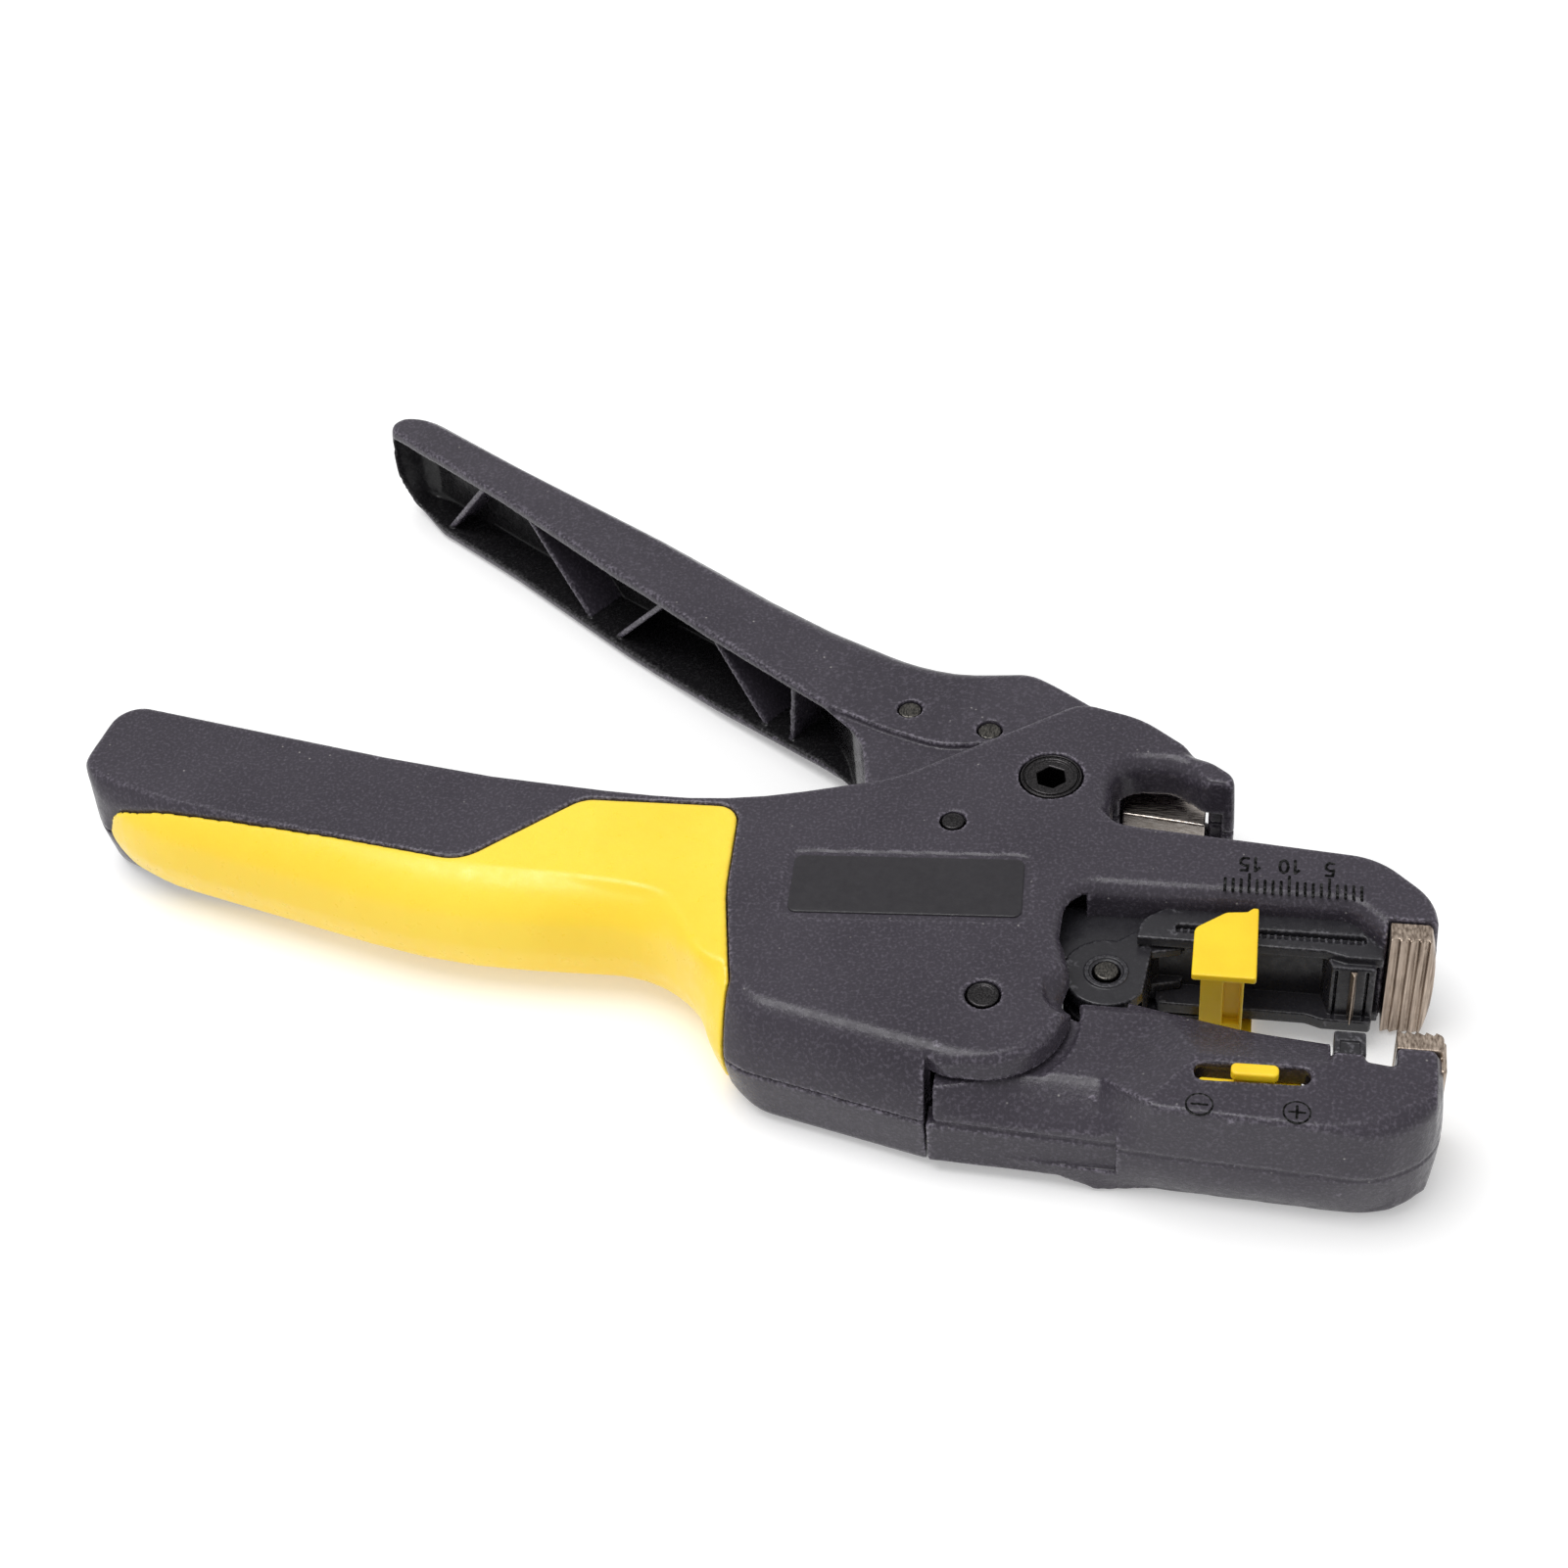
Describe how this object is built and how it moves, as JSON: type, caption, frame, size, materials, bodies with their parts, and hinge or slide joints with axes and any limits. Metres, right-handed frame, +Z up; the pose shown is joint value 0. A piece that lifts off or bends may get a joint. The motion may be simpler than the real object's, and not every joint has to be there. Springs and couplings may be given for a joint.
{
  "type": "wire stripper",
  "caption": "Self-adjusting wire stripper: squeeze lever, clamping jaws, pulled blade carriage, cable cutter, length stop and cutting-depth slider.",
  "frame": {"origin": "centre of the bounding box at the side face on which the tool lies", "axes": "+X towards the jaws, +Y towards the squeeze lever, +Z up through the upper side face"},
  "size_m": [0.1894, 0.137, 0.0189],
  "materials": {
    "black_plastic": "fine-grained moulded, matte",
    "inner_plastic": "smooth moulded, in shadow",
    "label_plastic": "smooth, slightly glossier than the shell",
    "yellow_rubber": "soft overmould, semi-matte",
    "yellow_plastic": "moulded, glossier than the grip",
    "bright_steel": "ground, warm nickel tone",
    "dark_steel": "black oxide"
  },
  "bodies": {
    "body": {"body_shell_upper": "black_plastic", "body_shell_lower": "black_plastic", "soft_grip": "yellow_rubber", "label_plate": "label_plastic", "pivot_bushing": "dark_steel", "rocker_pivot_pin": "dark_steel", "jaw_pivot_pin": "dark_steel", "cutter_anvil": "bright_steel", "upper_clamp_insert": "bright_steel", "lever_return_spring": "dark_steel", "carriage_return_spring": "dark_steel"},
    "lever": {"lever": "black_plastic", "lever_pin_rear": "dark_steel", "lever_pin_front": "dark_steel", "cutter_blade": "bright_steel"},
    "lower_jaw": {"lower_jaw": "black_plastic", "lower_clamp_insert": "bright_steel"},
    "carriage": {"blade_carriage": "inner_plastic", "upper_blade": "bright_steel", "link_pin": "dark_steel"},
    "stop": {"length_stop": "yellow_plastic"},
    "depth_slider": {"depth_slider": "yellow_plastic"},
    "lower_holder": {"lower_blade_holder": "inner_plastic", "lower_blade": "bright_steel"},
    "rocker": {"pull_rocker": "dark_steel", "rocker_pin": "bright_steel"},
    "link": {"pull_link": "dark_steel"}
  },
  "joints": [
    {"name": "lever_squeeze", "type": "hinge", "parent": "body", "child": "lever", "pos_m": [0.04372, -0.01126, 0.0092], "axis": [0, 0, 1], "range_deg": [0, 24], "stiffness_Nm_per_rad": 0.3, "springref_deg": -17.19},
    {"name": "jaw_close", "type": "hinge", "parent": "body", "child": "lower_jaw", "pos_m": [0.03912, -0.05086, 0.0092], "axis": [0, 0, 1], "range_deg": [0, 13.6]},
    {"name": "carriage_pull", "type": "slide", "parent": "body", "child": "carriage", "axis": [-1, 0, 0], "range_m": [0, 0.0081]},
    {"name": "lower_blade_pull", "type": "slide", "parent": "lower_jaw", "child": "lower_holder", "axis": [-1, 0, 0], "range_m": [0, 0.0081]},
    {"name": "rocker_swing", "type": "hinge", "parent": "body", "child": "rocker", "pos_m": [0.03162, -0.02096, 0.0092], "axis": [0, 0, -1], "range_deg": [0, 34.5]},
    {"name": "link_swing", "type": "hinge", "parent": "rocker", "child": "link", "pos_m": [0.03602, -0.03386, 0.0092], "axis": [0, 0, 1], "range_deg": [0, 34.5]},
    {"name": "stop_slide", "type": "slide", "parent": "carriage", "child": "stop", "axis": [1, 0, 0], "range_m": [-0.0052, 0.0078]},
    {"name": "depth_slide", "type": "slide", "parent": "lower_jaw", "child": "depth_slider", "axis": [1, 0, 0], "range_m": [-0.0038, 0.0034]}
  ],
  "couplings": [
    {"joint": "jaw_close", "follows": "lever_squeeze", "ratio": 0.5625},
    {"joint": "carriage_pull", "follows": "lever_squeeze", "m_per_rad": 0.0191},
    {"joint": "lower_blade_pull", "follows": "lever_squeeze", "m_per_rad": 0.0191},
    {"joint": "rocker_swing", "follows": "lever_squeeze", "ratio": 1.4167},
    {"joint": "link_swing", "follows": "lever_squeeze", "ratio": 1.4167}
  ]
}
